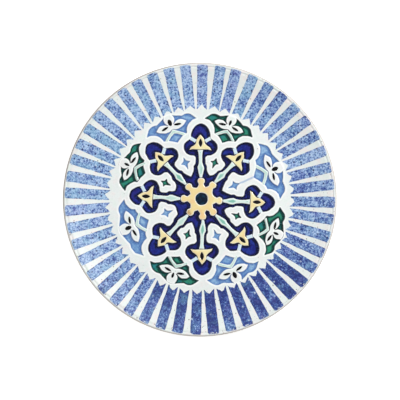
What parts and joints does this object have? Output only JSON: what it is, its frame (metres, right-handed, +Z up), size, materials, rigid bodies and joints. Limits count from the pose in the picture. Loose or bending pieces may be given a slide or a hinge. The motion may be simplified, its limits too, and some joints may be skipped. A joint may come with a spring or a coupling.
{
  "type": "ceramic plate",
  "caption": "Round shallow footed ceramic plate with a raised geometric flower medallion in glazed pools and a radially striped curved rim.",
  "frame": {"origin": "centre of the foot ring's flat underside, where the plate's axis meets the table", "axes": "+Z up along the plate's axis, out of the painted face; +Y towards the top of the painted design; +X to its right"},
  "size_m": [0.3, 0.3, 0.027],
  "materials": {
    "bare_clay": "unglazed fired earthenware",
    "back_glaze": "satin clear glaze over pale clay",
    "white_slip": "thick white slip under a glossy glaze",
    "navy_glaze": "glossy navy glaze, darker where it pools at edges",
    "sky_glaze": "glossy light blue glaze",
    "green_glaze": "glossy sea green glaze",
    "yellow_glaze": "straw yellow glaze",
    "mint_glaze": "pale mint glaze",
    "ink_glaze": "blue-black glaze"
  },
  "bodies": {
    "root": {"clay_body": "bare_clay", "foot_ring": "bare_clay", "back_glaze": "back_glaze", "front_slip": "white_slip", "navy_ground": "navy_glaze", "centre_star": "yellow_glaze", "centre_eye": "ink_glaze", "stem_1": "mint_glaze", "stem_2": "mint_glaze", "stem_3": "mint_glaze", "stem_4": "mint_glaze", "stem_5": "mint_glaze", "stem_6": "mint_glaze", "stem_7": "mint_glaze", "stem_8": "mint_glaze", "lily_1": "yellow_glaze", "lily_2": "yellow_glaze", "lily_3": "yellow_glaze", "lily_4": "yellow_glaze", "lily_5": "yellow_glaze", "lily_6": "yellow_glaze", "lily_7": "yellow_glaze", "lily_8": "yellow_glaze", "spandrel_ground_1": "sky_glaze", "spandrel_ground_2": "green_glaze", "spandrel_ground_3": "sky_glaze", "spandrel_ground_4": "green_glaze", "spandrel_ground_5": "sky_glaze", "spandrel_ground_6": "green_glaze", "spandrel_ground_7": "sky_glaze", "spandrel_ground_8": "green_glaze", "kite_diamond_1": "sky_glaze", "kite_diamond_2": "green_glaze", "kite_diamond_3": "sky_glaze", "kite_diamond_4": "green_glaze", "kite_diamond_5": "sky_glaze", "kite_diamond_6": "green_glaze", "kite_diamond_7": "sky_glaze", "kite_diamond_8": "green_glaze", "flower_1": "white_slip", "flower_2": "white_slip", "flower_3": "white_slip", "flower_4": "white_slip", "flower_5": "white_slip", "flower_6": "white_slip", "flower_7": "white_slip", "flower_8": "white_slip", "leaf_pair_1": "mint_glaze", "leaf_pair_2": "mint_glaze", "leaf_pair_3": "mint_glaze", "leaf_pair_4": "mint_glaze", "leaf_pair_5": "mint_glaze", "leaf_pair_6": "mint_glaze", "leaf_pair_7": "mint_glaze", "leaf_pair_8": "mint_glaze"}
  },
  "joints": []
}
